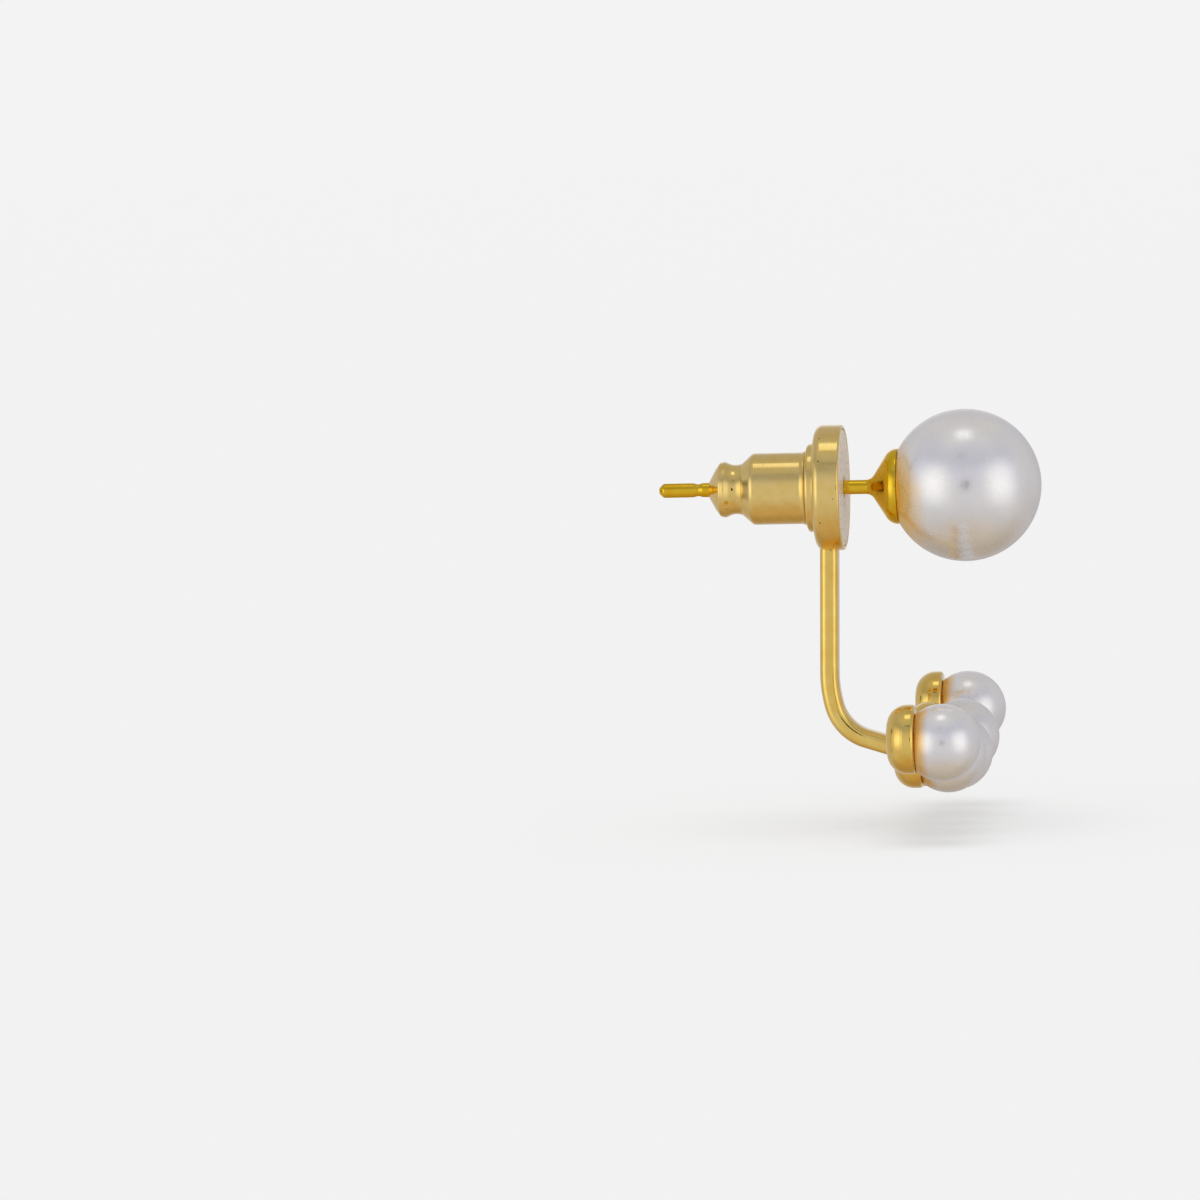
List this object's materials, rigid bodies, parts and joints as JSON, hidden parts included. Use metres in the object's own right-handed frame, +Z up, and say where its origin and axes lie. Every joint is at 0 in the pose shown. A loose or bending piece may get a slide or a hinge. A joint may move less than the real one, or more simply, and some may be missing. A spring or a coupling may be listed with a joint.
{
  "type": "ear jacket earring",
  "caption": "Front-and-back earring: a large pearl on a post, and a clutch whose hooked arm brings a curved row of small pearls forward under the ear lobe.",
  "frame": {"origin": "on the post's axis, halfway through the gap between the cup and the pad that the ear lobe fills", "axes": "+Y along the post towards its free end behind the ear, the large pearl faces -Y, +Z up with the row of small pearls hanging below, +X across the ear"},
  "size_m": [0.021, 0.0202, 0.0201],
  "materials": {
    "pearl": "soft pearl lustre",
    "gold_plate": "polished gold plating",
    "silicone": "smooth translucent silicone"
  },
  "bodies": {
    "stud": {"main_pearl": "pearl", "stud_post": "gold_plate"},
    "grip": {"silicone_grip": "silicone"},
    "jacket": {"bullet_clutch": "gold_plate", "jacket_frame": "gold_plate", "bar_pearl_1": "pearl", "bar_pearl_2": "pearl", "bar_pearl_3": "pearl", "bar_pearl_4": "pearl", "bar_pearl_5": "pearl"}
  },
  "joints": [
    {"name": "clutch_slide", "type": "slide", "parent": "stud", "child": "grip", "axis": [0, 1, 0], "range_m": [-0.0015, 0.0094]},
    {"name": "jacket_turn", "type": "hinge", "parent": "grip", "child": "jacket", "pos_m": [0, 0, 0], "axis": [0, 1, 0], "continuous": true}
  ]
}
